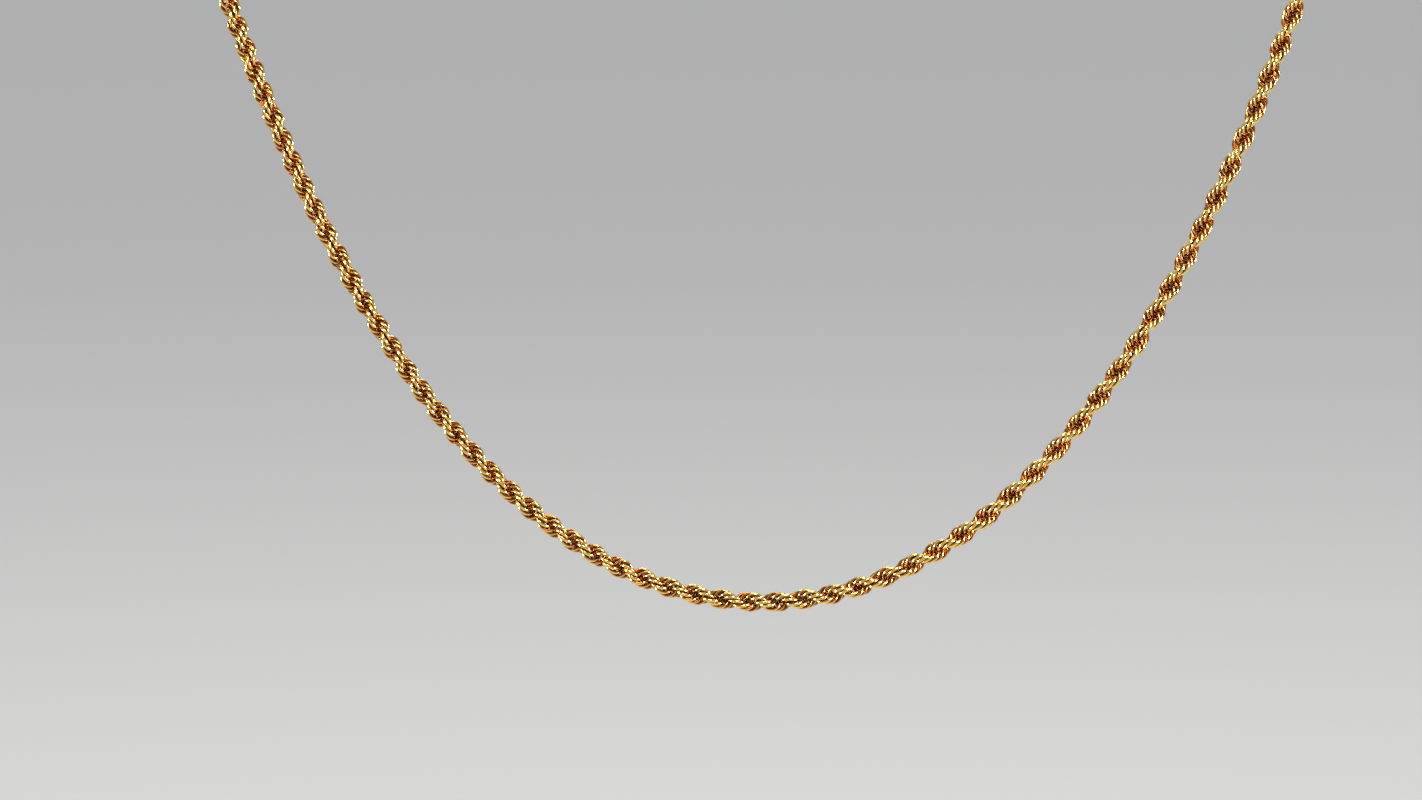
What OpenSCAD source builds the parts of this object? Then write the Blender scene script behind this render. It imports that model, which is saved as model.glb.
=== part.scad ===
// Rope chain necklace: one twisted chain that hangs in a loop round the neck,
// closed at the nape by a plain barrel clasp.
// The origin is where the clasp lies on the nape. +Z is up and the front faces -Y.

/* [Chain] */
// Thickness of the twisted chain over its links
chain_d = 2.5; // [1.5:0.1:5]

/* [Front stretch] */
// Radius of the bend at the lowest point
bend_r = 37.2; // [25:0.1:60]
// Length of chain from the lowest point to the top of the front, on each side
front_l = 104; // [70:1:160]
// Forward lean of the front stretch, in degrees from upright
lean = 12; // [0:1:25]

/* [Neck stretch] */
// Height of the nape above the top of the front stretch
neck_rise = 42; // [20:1:80]
// Distance of the nape behind the top of the front stretch
neck_back = 98; // [70:1:150]
// Distance over which the chain keeps rising before it bends back
rise_pull = 39; // [20:1:80]
// Distance over which the chain leaves the clasp sideways before it bends forward
nape_pull = 56; // [30:1:90]

/* [Clasp] */
// Length of the barrel
clasp_l = 12; // [9:0.5:24]
// Wall of the barrel round the end of the chain
clasp_wall = 0.75; // [0.5:0.05:1.5]
// Depth of the socket for the end of the chain
socket_l = 3; // [1.5:0.1:4]
// Clearance round the chain and behind its end in the socket
fit_gap = 0.15; // [0.1:0.05:0.3]
// Bevel on the edges of the barrel
edge = 0.4; // [0.1:0.05:0.45]

/* [Hidden] */

gold = [0.86, 0.66, 0.30];
pale_gold = [0.90, 0.72, 0.38];

// Sides of the swept tube, and the spacing of its rings in chain thicknesses
tube_sides = 8;
ring_pitch = 2.65;
round_fn = 48;

chain_r = chain_d / 2;
socket_r = chain_r + fit_gap;
clasp_r = socket_r + clasp_wall;

// Where the chain leaves the barrel, and where its end stops in the socket
mouth = [clasp_l / 2, clasp_r, 0];
chain_end = [clasp_l / 2 - socket_l + fit_gap, clasp_r, 0];

// The front stretch hangs as a free chain does, in a catenary.
// Across, along the lean and tangent at a length s from the lowest point.
function hang_x(s) = bend_r * ln((s + sqrt(s * s + bend_r * bend_r)) / bend_r);
function hang_up(s) = sqrt(s * s + bend_r * bend_r) - bend_r;
function hang_tangent(s) = lean_over(bend_r, s) / sqrt(s * s + bend_r * bend_r);

// A direction in the leaning plane of the front stretch
function lean_over(across, up) = [across, up * sin(lean), up * cos(lean)];

front_top = [hang_x(front_l), clasp_r - neck_back, -neck_rise];
lowest = front_top - lean_over(hang_x(front_l), hang_up(front_l));
function front_point(s) = lowest + lean_over(hang_x(s), hang_up(s));

// The neck stretch is one curve from the top of the front to the barrel's mouth
neck_a = front_top + rise_pull * hang_tangent(front_l);
neck_b = mouth + [nape_pull, 0, 0];
function neck_point(t) = pow(1 - t, 3) * front_top + 3 * t * pow(1 - t, 2) * neck_a
    + 3 * t * t * (1 - t) * neck_b + pow(t, 3) * mouth;

// Rings on each part of the right half, a fixed number of thicknesses apart
ring_step = ring_pitch * chain_d;
front_rings = ceil(front_l / ring_step);
neck_length = (norm(neck_a - front_top) + norm(neck_b - neck_a) + norm(mouth - neck_b)
    + norm(mouth - front_top)) / 2;
neck_rings = ceil(neck_length / ring_step);

right_half = concat(
    [for (i = [0 : front_rings]) front_point(front_l * i / front_rings)],
    [for (i = [1 : neck_rings]) neck_point(i / neck_rings)],
    [chain_end]
);
last = len(right_half) - 1;
route = concat(
    [for (i = [last : -1 : 1]) flipped(right_half[i])],
    right_half
);

function flipped(p) = [-p[0], p[1], p[2]];
function unit(v) = v / norm(v);
function heading(path, i) =
    unit(path[min(i + 1, len(path) - 1)] - path[max(i - 1, 0)]);

// The rings are squared up to a direction that no stretch of the chain follows
steady = [0, -sin(45), cos(45)];
function ring(path, i, r) =
    let (t = heading(path, i), n = unit(cross(t, steady)), b = cross(n, t))
    [for (k = [0 : tube_sides - 1])
        let (a = 360 * (k + 0.5) / tube_sides)
        path[i] + r * (cos(a) * n + sin(a) * b)];

// A closed tube of radius r along a path
module tube(path, r) {
    n = len(path);
    points = [for (i = [0 : n - 1]) each ring(path, i, r)];
    skin = [for (i = [0 : n - 2], k = [0 : tube_sides - 1])
        let (a = i * tube_sides + k,
            b = i * tube_sides + (k + 1) % tube_sides,
            c = a + tube_sides,
            d = b + tube_sides)
        each [[a, b, c], [b, d, c]]];
    start_cap = [for (k = [tube_sides - 1 : -1 : 0]) k];
    end_cap = [for (k = [0 : tube_sides - 1]) (n - 1) * tube_sides + k];
    polyhedron(points, concat(skin, [start_cap, end_cap]), convexity = 8);
}

// The whole chain as the round rope that its links fill
module rope_chain() {
    color(gold) tube(route, chain_r);
}

// A solid barrel with a blind socket in each end
module clasp() {
    outline = [
        [0, -clasp_l / 2],
        [clasp_r - edge, -clasp_l / 2],
        [clasp_r, -clasp_l / 2 + edge],
        [clasp_r, clasp_l / 2 - edge],
        [clasp_r - edge, clasp_l / 2],
        [0, clasp_l / 2]
    ];
    color(pale_gold)
        translate([0, clasp_r, 0])
            rotate([0, 90, 0])
                difference() {
                    rotate_extrude($fn = round_fn) polygon(outline);
                    for (side = [-1, 1])
                        translate([0, 0, side * clasp_l / 2])
                            cylinder(h = 2 * socket_l, r = socket_r, center = true, $fn = round_fn);
                }
}

rope_chain();
clasp();
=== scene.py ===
import math
import bpy
import numpy as np
from mathutils import Matrix, Vector


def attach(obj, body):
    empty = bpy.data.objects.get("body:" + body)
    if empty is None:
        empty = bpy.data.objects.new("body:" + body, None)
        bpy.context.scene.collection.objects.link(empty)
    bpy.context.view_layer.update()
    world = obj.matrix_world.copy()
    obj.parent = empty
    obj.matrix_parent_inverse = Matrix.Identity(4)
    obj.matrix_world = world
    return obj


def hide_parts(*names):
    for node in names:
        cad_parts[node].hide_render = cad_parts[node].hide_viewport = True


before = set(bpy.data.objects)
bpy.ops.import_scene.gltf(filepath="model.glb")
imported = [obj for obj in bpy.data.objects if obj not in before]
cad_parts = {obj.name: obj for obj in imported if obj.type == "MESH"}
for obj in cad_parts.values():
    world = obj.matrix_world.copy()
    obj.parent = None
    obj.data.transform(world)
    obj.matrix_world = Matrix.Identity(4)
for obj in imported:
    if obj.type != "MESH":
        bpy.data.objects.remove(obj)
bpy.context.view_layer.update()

# Metres, in the frame of the solids: +Z up, the front of the necklace faces -Y

route = {
    "bendRadius": 0.0372,        # of the catenary at its lowest point
    "frontLength": 0.104,        # lowest point to the top of the front, on each side
    "lean": math.radians(12),    # of the front stretch, from upright
    "neckRise": 0.042,           # from the top of the front up to the nape
    "neckBack": 0.098,           # and back to it
    "risePull": 0.039,           # how long the neck stretch keeps rising before it bends back
    "napePull": 0.056,           # how long it leaves the clasp sideways before it bends forward
    "claspLength": 0.012,
    "claspRadius": 0.00215,
    "socketDepth": 0.003,
    "fitGap": 0.00015,           # between an end of the chain and the bottom of its socket
    "endRoom": 0.0012,           # kept free of link middles at each end of the chain
    "frontSteps": 400,           # that each curve is first drawn in
    "neckSteps": 600,
    "step": 0.0004,              # between the even points that carry the twist
}


def leanOver(across, up):
    return Vector((across, up * math.sin(route["lean"]), up * math.cos(route["lean"])))


def hangingPoint(s):
    # a point of the catenary, s along it from its lowest point
    a = route["bendRadius"]
    return leanOver(a * math.asinh(s / a), math.hypot(s, a) - a)


frontTop = Vector((hangingPoint(route["frontLength"]).x,
                   route["claspRadius"] - route["neckBack"], -route["neckRise"]))
lowest = frontTop - hangingPoint(route["frontLength"])
mouth = Vector((route["claspLength"] / 2, route["claspRadius"], 0))
chainEnd = mouth - Vector((route["socketDepth"] - route["fitGap"], 0, 0))
outward = leanOver(1, 0).cross(leanOver(0, 1))      # square to the leaning front, out of the loop


def rightHalf():
    # evenly spaced points from the lowest point to the end in the clasp
    length, a = route["frontLength"], route["bendRadius"]
    frontSteps, neckSteps = route["frontSteps"], route["neckSteps"]
    points = [lowest + hangingPoint(length * i / frontSteps) for i in range(frontSteps + 1)]
    neckA = frontTop + route["risePull"] * leanOver(a, length) / math.hypot(a, length)
    neckB = mouth + Vector((route["napePull"], 0, 0))
    for i in range(1, neckSteps + 1):
        t = i / neckSteps
        points.append((1 - t) ** 3 * frontTop + 3 * t * (1 - t) ** 2 * neckA
                      + 3 * t * t * (1 - t) * neckB + t ** 3 * mouth)
    raw = np.array([tuple(p) for p in points + [chainEnd]])
    run = np.concatenate([[0], np.cumsum(np.linalg.norm(np.diff(raw, axis=0), axis=1))])
    even = np.linspace(0, run[-1], int(run[-1] / route["step"]) + 1)
    return [Vector([np.interp(s, run, raw[:, k]) for k in range(3)]) for s in even], even


def carried(points, facing):
    # the facing direction, carried along the points without any twist of its own
    facings = []
    for i in range(len(points)):
        ahead = points[min(i + 1, len(points) - 1)] - points[max(i - 1, 0)]
        facing = (facing - facing.project(ahead)).normalized()
        facings.append(facing.copy())
    return facings


twist = {
    # distance from the lowest point, to the wearer's left, and the length of half a turn
    # there, in mm
    "halfTurns": [(-300, 2.86), (-104, 2.86), (-70, 3.24), (-20, 3.24),
                  (15, 3.44), (38, 4.04), (300, 4.04)],
    "reach": 0.3,                # metres each way, past both ends of the chain
    "steps": 6000,               # that the turn is summed in
    "phase": math.radians(90),   # at the lowest point
}


def turnAt(s):
    # angle of the twist at each distance s in metres
    fine = np.linspace(-twist["reach"], twist["reach"], twist["steps"] + 1)
    halfTurn = np.interp(fine * 1000, *zip(*twist["halfTurns"])) / 1000
    turns = 0.5 * (1 / halfTurn[1:] + 1 / halfTurn[:-1])
    angle = np.concatenate([[0], np.cumsum(math.pi * (fine[1:] - fine[:-1]) * turns)])
    return np.interp(s, fine, angle) - np.interp(0, fine, angle) + twist["phase"]


def pathObject(name, points, distances, facings):
    # a polyline that carries the twist and the facing direction for the links
    mesh = bpy.data.meshes.new(name)
    edges = [(i, i + 1) for i in range(len(points) - 1)]
    mesh.from_pydata([tuple(p) for p in points], edges, [])
    turn = mesh.attributes.new("turn", "FLOAT", "POINT")
    turn.data.foreach_set("value", turnAt(np.array(distances)))
    facing = mesh.attributes.new("facing", "FLOAT_VECTOR", "POINT")
    facing.data.foreach_set("vector", np.array([tuple(f) for f in facings]).ravel())
    path = bpy.data.objects.new(name, mesh)
    bpy.context.collection.objects.link(path)
    return path


rightPoints, rightRun = rightHalf()
rightFacings = carried(rightPoints, outward)
flip = Matrix.Diagonal((-1, 1, 1))
wholePoints = [flip @ p for p in rightPoints[:0:-1]] + rightPoints
wholeFacings = [flip @ f for f in rightFacings[:0:-1]] + rightFacings
wholeRun = [-s for s in rightRun[:0:-1]] + list(rightRun)
print("route: %.1f mm of chain between the ends in the clasp" % (2000 * rightRun[-1]))


def addNode(tree, kind, inputs=None, **settings):
    # inputs are other nodes' sockets or plain values
    node = tree.nodes.new(kind)
    for key, value in settings.items():
        setattr(node, key, value)
    for key, value in (inputs or {}).items():
        if isinstance(value, bpy.types.NodeSocket):
            tree.links.new(value, node.inputs[key])
        else:
            node.inputs[key].default_value = value
    return node


def number(tree, operation, a, b=0.0):
    return addNode(tree, "ShaderNodeMath", {0: a, 1: b}, operation=operation).outputs[0]


def vector(tree, operation, a, b=(0, 0, 0)):
    made = addNode(tree, "ShaderNodeVectorMath", {0: a, 1: b}, operation=operation)
    return made.outputs["Value" if operation == "DOT_PRODUCT" else "Vector"]


def scaled(tree, a, factor):
    return addNode(tree, "ShaderNodeVectorMath", {0: a, "Scale": factor},
                   operation="SCALE").outputs["Vector"]


def aimed(tree, a, b, angle):
    # the direction at an angle from a towards b
    return vector(tree, "ADD", scaled(tree, a, number(tree, "COSINE", angle)),
                  scaled(tree, b, number(tree, "SINE", angle)))


def turned(tree, a, axis, angle):
    return addNode(tree, "ShaderNodeVectorRotate", {"Vector": a, "Axis": axis, "Angle": angle},
                   rotation_type="AXIS_ANGLE").outputs["Vector"]


def noise(tree, place, scale, detail):
    return addNode(tree, "ShaderNodeTexNoise",
                   {"Vector": place, "Scale": scale, "Detail": detail}).outputs[0]


def named(tree, name, kind="FLOAT_VECTOR"):
    return addNode(tree, "GeometryNodeInputNamedAttribute", {"Name": name},
                   data_type=kind).outputs["Attribute"]


def stored(tree, geometry, name, value, kind="FLOAT_VECTOR"):
    return addNode(tree, "GeometryNodeStoreNamedAttribute",
                   {"Geometry": geometry, "Name": name, "Value": value},
                   data_type=kind, domain="POINT").outputs["Geometry"]


links = {
    "Pitch": 0.000537,           # from one link to the next along the chain
    "Ring Radius": 0.001040,     # to the middle of the wire
    "Wire Thickness": 0.000427,
    "Ring Steps": 16,
    "Wire Sides": 6,
    "Side Offset": 0.00004,      # from the middle of the chain, to the two sides by turns
    "Tilt": math.radians(3),     # of a ring out of the run of the chain
    "Looseness": math.radians(5),
    "Seed": 4,
    "Chain Radius": 0.00125,     # out to the crowns of the links
    "Cut Sides": 8,              # flat sides that the cutter leaves round the chain
    "Cut Radius": 0.001195,
    "Cut Wander": math.radians(40),   # how far the flats roll to and fro along the chain
    "Wander Scale": 120.0,
    "Wander Detail": 1.0,
    "Least Cut": 1e-7,           # a shallower one leaves no flat
}


def linkPoints(tree, given, place):
    # a point for each link, with the turn of its ring
    curve = addNode(tree, "GeometryNodeMeshToCurve", {"Mesh": given["Geometry"]})
    along = addNode(tree, "GeometryNodeCurveToPoints",
                    {"Curve": curve.outputs["Curve"], "Length": given["Pitch"]}, mode="LENGTH")
    points = stored(tree, along.outputs["Points"], "middle", place)
    points = stored(tree, points, "ahead", along.outputs["Tangent"])
    ahead, facing = named(tree, "ahead"), named(tree, "facing")

    # u leaves the chain sideways, for every other link on the far side, and t is square to it
    index = addNode(tree, "GeometryNodeInputIndex").outputs["Index"]
    side = number(tree, "MULTIPLY", number(tree, "MODULO", index, 2.0), math.pi)
    turn = number(tree, "ADD", named(tree, "turn", "FLOAT"), side)
    u = turned(tree, vector(tree, "CROSS_PRODUCT", ahead, facing), ahead, turn)
    t = vector(tree, "CROSS_PRODUCT", u, ahead)

    # the ring lies in the plane of v and w, a little loose both ways
    loose = addNode(tree, "FunctionNodeRandomValue",
                    {"Min": (-1, -1, -1), "Max": (1, 1, 1), "Seed": given["Seed"]},
                    data_type="FLOAT_VECTOR")
    jitter = addNode(tree, "ShaderNodeSeparateXYZ", {0: loose.outputs[0]}).outputs
    tilt = number(tree, "ADD", given["Tilt"],
                  number(tree, "MULTIPLY", jitter[0], given["Looseness"]))
    lean = number(tree, "MULTIPLY", jitter[1], given["Looseness"])
    w = aimed(tree, ahead, t, tilt)
    square = vector(tree, "SUBTRACT", scaled(tree, ahead, number(tree, "SINE", tilt)),
                    scaled(tree, t, number(tree, "COSINE", tilt)))
    v = aimed(tree, u, square, lean)
    pose = addNode(tree, "FunctionNodeAxesToRotation",
                   {"Primary Axis": vector(tree, "CROSS_PRODUCT", v, w), "Secondary Axis": v},
                   primary_axis="Z", secondary_axis="X").outputs[0]
    points = stored(tree, points, "shift", scaled(tree, u, given["Side Offset"]))
    points = stored(tree, points, "pose", pose, "QUATERNION")
    return addNode(tree, "GeometryNodeSetPosition",
                   {"Geometry": points, "Offset": named(tree, "shift")}).outputs["Geometry"]


def oneLink(tree, given, place):
    # a closed ring of wire
    wireRadius = number(tree, "MULTIPLY", given["Wire Thickness"], 0.5)
    ring = addNode(tree, "GeometryNodeCurvePrimitiveCircle",
                   {"Resolution": given["Ring Steps"], "Radius": given["Ring Radius"]})
    wire = addNode(tree, "GeometryNodeCurvePrimitiveCircle",
                   {"Resolution": given["Wire Sides"], "Radius": wireRadius})
    # one side of the wire, not a corner, faces out of the ring for the cutter
    halfSide = addNode(tree, "ShaderNodeCombineXYZ",
                       {"Z": number(tree, "DIVIDE", math.pi, given["Wire Sides"])}).outputs[0]
    wire = addNode(tree, "GeometryNodeTransform",
                   {"Geometry": wire.outputs["Curve"], "Rotation": halfSide})
    link = addNode(tree, "GeometryNodeCurveToMesh",
                   {"Curve": ring.outputs["Curve"], "Profile Curve": wire.outputs["Geometry"]})

    # how far each side of the wire faces out of its ring, from -1 to 1; the gold's painted shade
    # between the wires follows it
    inPlane = vector(tree, "MULTIPLY", place, (1, 1, 0))
    fromCentre = number(tree, "SQRT", vector(tree, "DOT_PRODUCT", inPlane, inPlane))
    outer = number(tree, "DIVIDE",
                   number(tree, "SUBTRACT", fromCentre, given["Ring Radius"]), wireRadius)
    return stored(tree, link.outputs["Mesh"], "outer", outer, "FLOAT")


def cutLinks(tree, given, solid, place):
    # whatever stands out past a many-sided bar round the chain is pressed onto its nearest side
    middle, ahead, facing = named(tree, "middle"), named(tree, "ahead"), named(tree, "facing")
    across = vector(tree, "CROSS_PRODUCT", ahead, facing)
    reach = vector(tree, "SUBTRACT", place, middle)
    onAcross = vector(tree, "DOT_PRODUCT", reach, across)
    onFacing = vector(tree, "DOT_PRODUCT", reach, facing)
    sector = number(tree, "DIVIDE", 2 * math.pi, given["Cut Sides"])
    wander = noise(tree, middle, given["Wander Scale"], given["Wander Detail"])
    roll = number(tree, "MULTIPLY", number(tree, "SUBTRACT", wander, 0.5),
                  number(tree, "MULTIPLY", given["Cut Wander"], 2.0))
    angle = number(tree, "SUBTRACT", number(tree, "ARCTAN2", onFacing, onAcross), roll)
    sectors = number(tree, "ROUND", number(tree, "DIVIDE", angle, sector))
    nearest = number(tree, "ADD", roll, number(tree, "MULTIPLY", sectors, sector))
    normal = aimed(tree, across, facing, nearest)
    over = number(tree, "MAXIMUM", number(
        tree, "SUBTRACT", vector(tree, "DOT_PRODUCT", reach, normal), given["Cut Radius"]), 0.0)

    # how far out each point lies, from 0 in the core to 1 on the crowns; the gold's painted shade
    # towards the core follows it
    fromMiddle = number(tree, "SQRT", number(
        tree, "ADD", number(tree, "MULTIPLY", onAcross, onAcross),
        number(tree, "MULTIPLY", onFacing, onFacing)))
    crown = number(tree, "DIVIDE", fromMiddle, given["Chain Radius"])
    cut = number(tree, "GREATER_THAN", over, given["Least Cut"])
    solid = stored(tree, solid, "crown", crown, "FLOAT")
    solid = stored(tree, solid, "cut", cut, "FLOAT")
    solid = stored(tree, solid, "press", scaled(tree, normal, number(tree, "MULTIPLY", over, -1.0)))
    return addNode(tree, "GeometryNodeSetPosition",
                   {"Geometry": solid, "Offset": named(tree, "press")}).outputs["Geometry"]


def linkTree():
    # links along a path: interlocked rings, each turned on from the last, with their crowns cut
    tree = bpy.data.node_groups.new("rope links", "GeometryNodeTree")
    sockets = tree.interface
    sockets.new_socket("Geometry", in_out="INPUT", socket_type="NodeSocketGeometry")
    for name, value in links.items():
        kind = "NodeSocketInt" if isinstance(value, int) else "NodeSocketFloat"
        sockets.new_socket(name, in_out="INPUT", socket_type=kind).default_value = value
    sockets.new_socket("Gold", in_out="INPUT", socket_type="NodeSocketMaterial")
    sockets.new_socket("Geometry", in_out="OUTPUT", socket_type="NodeSocketGeometry")
    given = tree.nodes.new("NodeGroupInput").outputs
    place = addNode(tree, "GeometryNodeInputPosition").outputs["Position"]

    copies = addNode(tree, "GeometryNodeInstanceOnPoints",
                     {"Points": linkPoints(tree, given, place),
                      "Instance": oneLink(tree, given, place),
                      "Rotation": named(tree, "pose", "QUATERNION")})
    solid = addNode(tree, "GeometryNodeRealizeInstances",
                    {"Geometry": copies.outputs["Instances"]}).outputs[0]
    solid = cutLinks(tree, given, solid, place)

    # a face is left flat where all its corners were cut, so that their mean is over 0.9
    flat = number(tree, "GREATER_THAN", named(tree, "cut", "FLOAT"), 0.9)
    solid = addNode(tree, "GeometryNodeSetShadeSmooth",
                    {"Geometry": solid, "Shade Smooth": True}).outputs["Geometry"]
    solid = addNode(tree, "GeometryNodeSetShadeSmooth",
                    {"Geometry": solid, "Selection": flat,
                     "Shade Smooth": False}).outputs["Geometry"]
    solid = addNode(tree, "GeometryNodeSetMaterial",
                    {"Geometry": solid, "Material": given["Gold"]}).outputs[0]
    tree.links.new(solid, tree.nodes.new("NodeGroupOutput").inputs["Geometry"])
    return tree


def linkedChain(name, points, distances, facings, gold):
    # the tree on one stretch of the route, turned into a plain mesh
    path = pathObject(name + "_path", points, distances, facings)
    modifier = path.modifiers.new("links", "NODES")
    modifier.node_group = linkTree()
    values = dict(links, Gold=gold)
    for item in modifier.node_group.interface.items_tree:
        if item.in_out == "INPUT" and item.name in values:
            modifier[item.identifier] = values[item.name]
    evaluated = path.evaluated_get(bpy.context.evaluated_depsgraph_get())
    mesh = bpy.data.meshes.new_from_object(evaluated)
    for extra in ("middle", "ahead", "facing", "turn", "shift", "pose", "press"):
        if extra in mesh.attributes:
            mesh.attributes.remove(mesh.attributes[extra])
    path.modifiers.clear()
    bpy.data.objects.remove(path)
    chain = bpy.data.objects.new(name, mesh)
    bpy.context.collection.objects.link(chain)
    return chain


def polishedMetal(name):
    material = bpy.data.materials.new(name)
    material.use_nodes = True
    tree = material.node_tree
    shader = tree.nodes["Principled BSDF"]
    shader.inputs["Metallic"].default_value = 1
    place = addNode(tree, "ShaderNodeTexCoord").outputs["Object"]
    return material, tree, shader, place


def fineRelief(tree, shader, height, strength, depth):
    bump = addNode(tree, "ShaderNodeBump",
                   {"Strength": strength, "Distance": depth, "Height": height})
    tree.links.new(bump.outputs["Normal"], shader.inputs["Normal"])


chainFinish = {
    "bright": (0.92, 0.63, 0.185, 1),
    # the next colour is painted shade: the gold darkened and reddened for the core of the chain and
    # the gaps between its wires
    "paintedShade": (0.28, 0.07, 0.017, 1),
    "edgeTint": (1.0, 0.69, 0.30, 1),
    # painted shade, darker towards the core: from 0 in the core of the chain to 1 on the crowns of
    # its links
    "paintedShadeBelow": -0.30,        # less than 0, so the core is only partly shaded
    "brightAbove": 0.45,
    # painted shade down between the wires: from -1 on the inner side of a wire to 1 on its outer
    # side
    "gapBelow": 0.10,
    "gapAbove": 0.85,
    "mottleScale": 900.0,
    "mottleDetail": 3.0,
    "mottleColour": 0.35,
    "mottleRoughness": 0.12,
    "roughness": 0.13,
    "cutRoughness": 0.12,
    "scratchScale": 6000.0,
    "scratchDetail": 2.0,
    "scratchStrength": 0.08,
    "scratchDepth": 0.00002,
}


def chainGold():
    # polished yellow gold, with painted shade: redder and darker towards the core of the chain and
    # down between the wires
    material, tree, shader, place = polishedMetal("chain_gold")
    shader.inputs["Specular Tint"].default_value = chainFinish["edgeTint"]
    crown, cut, outer = [addNode(tree, "ShaderNodeAttribute", attribute_name=name).outputs["Fac"]
                         for name in ("crown", "cut", "outer")]
    depth = addNode(tree, "ShaderNodeMapRange",
                    {"Value": crown, "From Min": chainFinish["paintedShadeBelow"],
                     "From Max": chainFinish["brightAbove"]}).outputs[0]
    rim = addNode(tree, "ShaderNodeMapRange",
                  {"Value": outer, "From Min": chainFinish["gapBelow"],
                   "From Max": chainFinish["gapAbove"]}).outputs[0]
    mottle = noise(tree, place, chainFinish["mottleScale"], chainFinish["mottleDetail"])
    fromMean = number(tree, "SUBTRACT", mottle, 0.5)
    # mix factor: 1 gives the gold and 0 the painted shade, by depth and by side of wire, plus a
    # random mottle
    unshadedAndMottle = number(tree, "ADD", number(tree, "MULTIPLY", depth, rim),
                   number(tree, "MULTIPLY", fromMean, chainFinish["mottleColour"]))
    colour = addNode(tree, "ShaderNodeMix",
                     {0: unshadedAndMottle, 6: chainFinish["paintedShade"], 7: chainFinish["bright"]},
                     data_type="RGBA", clamp_factor=True)
    tree.links.new(colour.outputs[2], shader.inputs["Base Color"])
    rough = number(tree, "ADD", number(tree, "MULTIPLY", fromMean, chainFinish["mottleRoughness"]),
                   chainFinish["roughness"])
    finish = addNode(tree, "ShaderNodeMix", {0: cut, 2: rough, 3: chainFinish["cutRoughness"]})
    tree.links.new(finish.outputs[0], shader.inputs["Roughness"])
    scratch = noise(tree, place, chainFinish["scratchScale"], chainFinish["scratchDetail"])
    fineRelief(tree, shader, scratch, chainFinish["scratchStrength"], chainFinish["scratchDepth"])
    return material


# the chain, from just inside one end of the clasp to the other
keep = [i for i, s in enumerate(wholeRun) if abs(s) < rightRun[-1] - route["endRoom"]]
wholeChain = linkedChain("rope_links", [wholePoints[i] for i in keep],
                         [wholeRun[i] for i in keep], [wholeFacings[i] for i in keep],
                         chainGold())
print("links: %d triangles" % sum(len(p.vertices) - 2 for p in wholeChain.data.polygons))

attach(wholeChain, "root")
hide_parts("rope_chain")


claspFinish = {
    "deep": (0.84, 0.55, 0.17, 1),
    "light": (0.95, 0.69, 0.24, 1),
    "deepBelow": 0.3,            # of the clouding, from 0 to 1
    "lightAbove": 0.7,
    "cloudScale": 400.0,
    "cloudDetail": 4.0,
    "cloudRoughness": 0.14,
    "roughness": 0.08,           # where the clouding is 0
    "lineScale": 1800.0,         # of the turning lines
    "lineDistortion": 0.6,
    "lineDetail": 2.0,
    "lineStrength": 0.12,
    "lineDepth": 0.00002,
}


def claspGold():
    # polished barrel with fine turning lines round it
    material, tree, shader, place = polishedMetal("clasp_gold")
    cloud = noise(tree, place, claspFinish["cloudScale"], claspFinish["cloudDetail"])
    ramp = addNode(tree, "ShaderNodeValToRGB", {"Fac": cloud})
    deep, light = ramp.color_ramp.elements
    deep.position, deep.color = claspFinish["deepBelow"], claspFinish["deep"]
    light.position, light.color = claspFinish["lightAbove"], claspFinish["light"]
    tree.links.new(ramp.outputs["Color"], shader.inputs["Base Color"])
    rough = number(tree, "ADD", number(tree, "MULTIPLY", cloud, claspFinish["cloudRoughness"]),
                   claspFinish["roughness"])
    tree.links.new(rough, shader.inputs["Roughness"])
    lines = addNode(tree, "ShaderNodeTexWave",
                    {"Vector": place, "Scale": claspFinish["lineScale"],
                     "Distortion": claspFinish["lineDistortion"],
                     "Detail": claspFinish["lineDetail"]},
                    wave_type="BANDS", bands_direction="X").outputs["Fac"]
    fineRelief(tree, shader, lines, claspFinish["lineStrength"], claspFinish["lineDepth"])
    return material


claspMaterial = claspGold()
for slot in bpy.data.objects["clasp"].material_slots:
    slot.material = claspMaterial
print("clasp: polished barrel")


stage = {
    "floorHeight": -0.560,
    "floorSize": 20.0,
    "floorColour": (0.74, 0.736, 0.729, 1),
    "floorRoughness": 0.8,
    "skyColour": (0.97, 0.98, 1.0, 1),
    "skyStrength": 0.54,
}


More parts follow.
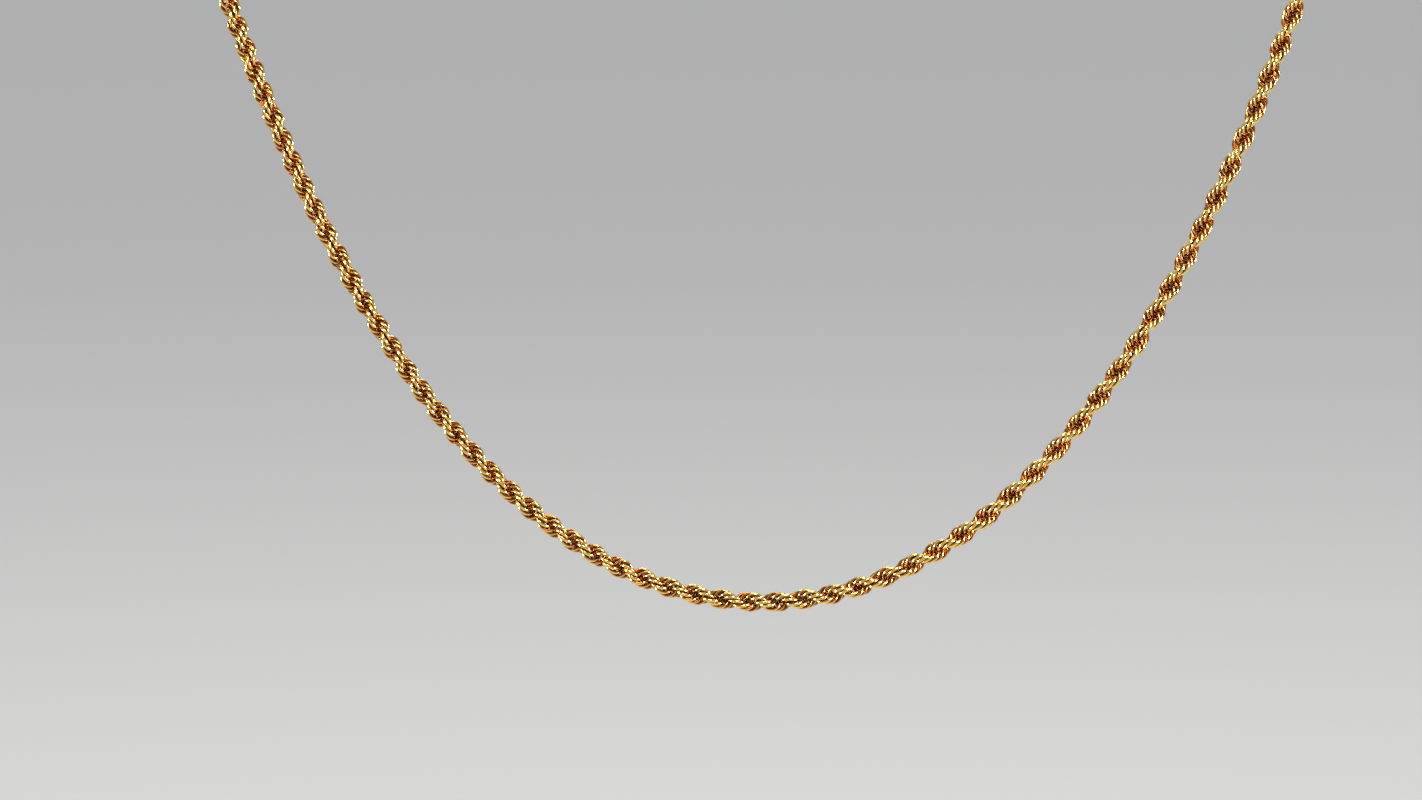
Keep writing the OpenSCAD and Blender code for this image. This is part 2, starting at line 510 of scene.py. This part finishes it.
def paleFloor():
    half, height = stage["floorSize"] / 2, stage["floorHeight"]
    mesh = bpy.data.meshes.new("floor")
    corners = [(-half, -half), (half, -half), (half, half), (-half, half)]
    mesh.from_pydata([(x, y, height) for x, y in corners], [], [(0, 1, 2, 3)])
    floor = bpy.data.objects.new("floor", mesh)
    bpy.context.collection.objects.link(floor)
    material = bpy.data.materials.new("pale_floor")
    material.use_nodes = True
    shader = material.node_tree.nodes["Principled BSDF"]
    shader.inputs["Base Color"].default_value = stage["floorColour"]
    shader.inputs["Roughness"].default_value = stage["floorRoughness"]
    mesh.materials.append(material)


paleFloor()

view = {
    "lens": 150.0,
    "sensor": 36.0,
    "clipStart": 0.01,
    "frameWidth": 0.1734,        # seen at the chain's plane
    "aimAcross": -0.00633,       # from the chain's lowest point to the middle of the picture
    "aimUp": 0.02465,
}
aim = lowest + leanOver(view["aimAcross"], view["aimUp"])
camera = bpy.data.objects.new("camera", bpy.data.cameras.new("camera"))
bpy.context.collection.objects.link(camera)
camera.data.lens, camera.data.sensor_width = view["lens"], view["sensor"]
camera.data.clip_start = view["clipStart"]
camera.location = aim + outward * (view["frameWidth"] / view["sensor"] * view["lens"])
camera.rotation_euler = (math.pi / 2 - route["lean"], 0, 0)
bpy.context.scene.camera = camera

# place, size, power, colour and spread in degrees, all aimed at the middle of the picture
lights = {
    "key_light": [(0.45, -0.95, 1.75), (0.70, 0.70), 31, (1.0, 0.975, 0.92), 180],
    "left_light": [(-0.90, -0.45, 0.00), (0.30, 0.30), 1.8, (0.95, 0.97, 1.0), 60],
    "right_light": [(0.95, -0.45, 0.02), (0.30, 0.30), 1.8, (1, 1, 1), 60],
    "back_light": [(0, 1.30, 1.00), (1.00, 0.40), 10, (1, 1, 1), 180],
}


def softLight(name, place, size, power, colour, spread):
    lamp = bpy.data.lights.new(name, "AREA")
    lamp.shape, lamp.size, lamp.size_y = "RECTANGLE", size[0], size[1]
    lamp.energy, lamp.color = power, colour
    lamp.spread = math.radians(spread)
    light = bpy.data.objects.new(name, lamp)
    light.location = place
    light.rotation_euler = (aim - Vector(place)).to_track_quat("-Z", "Y").to_euler()
    bpy.context.collection.objects.link(light)


for name, values in lights.items():
    softLight(name, *values)
world = bpy.data.worlds.new("studio")
world.use_nodes = True
sky = world.node_tree.nodes["Background"]
sky.inputs["Color"].default_value = stage["skyColour"]
sky.inputs["Strength"].default_value = stage["skyStrength"]
bpy.context.scene.world = world
bpy.context.scene.view_settings.view_transform = "Standard"
print("stage: floor, camera and %d lights" % len(lights))
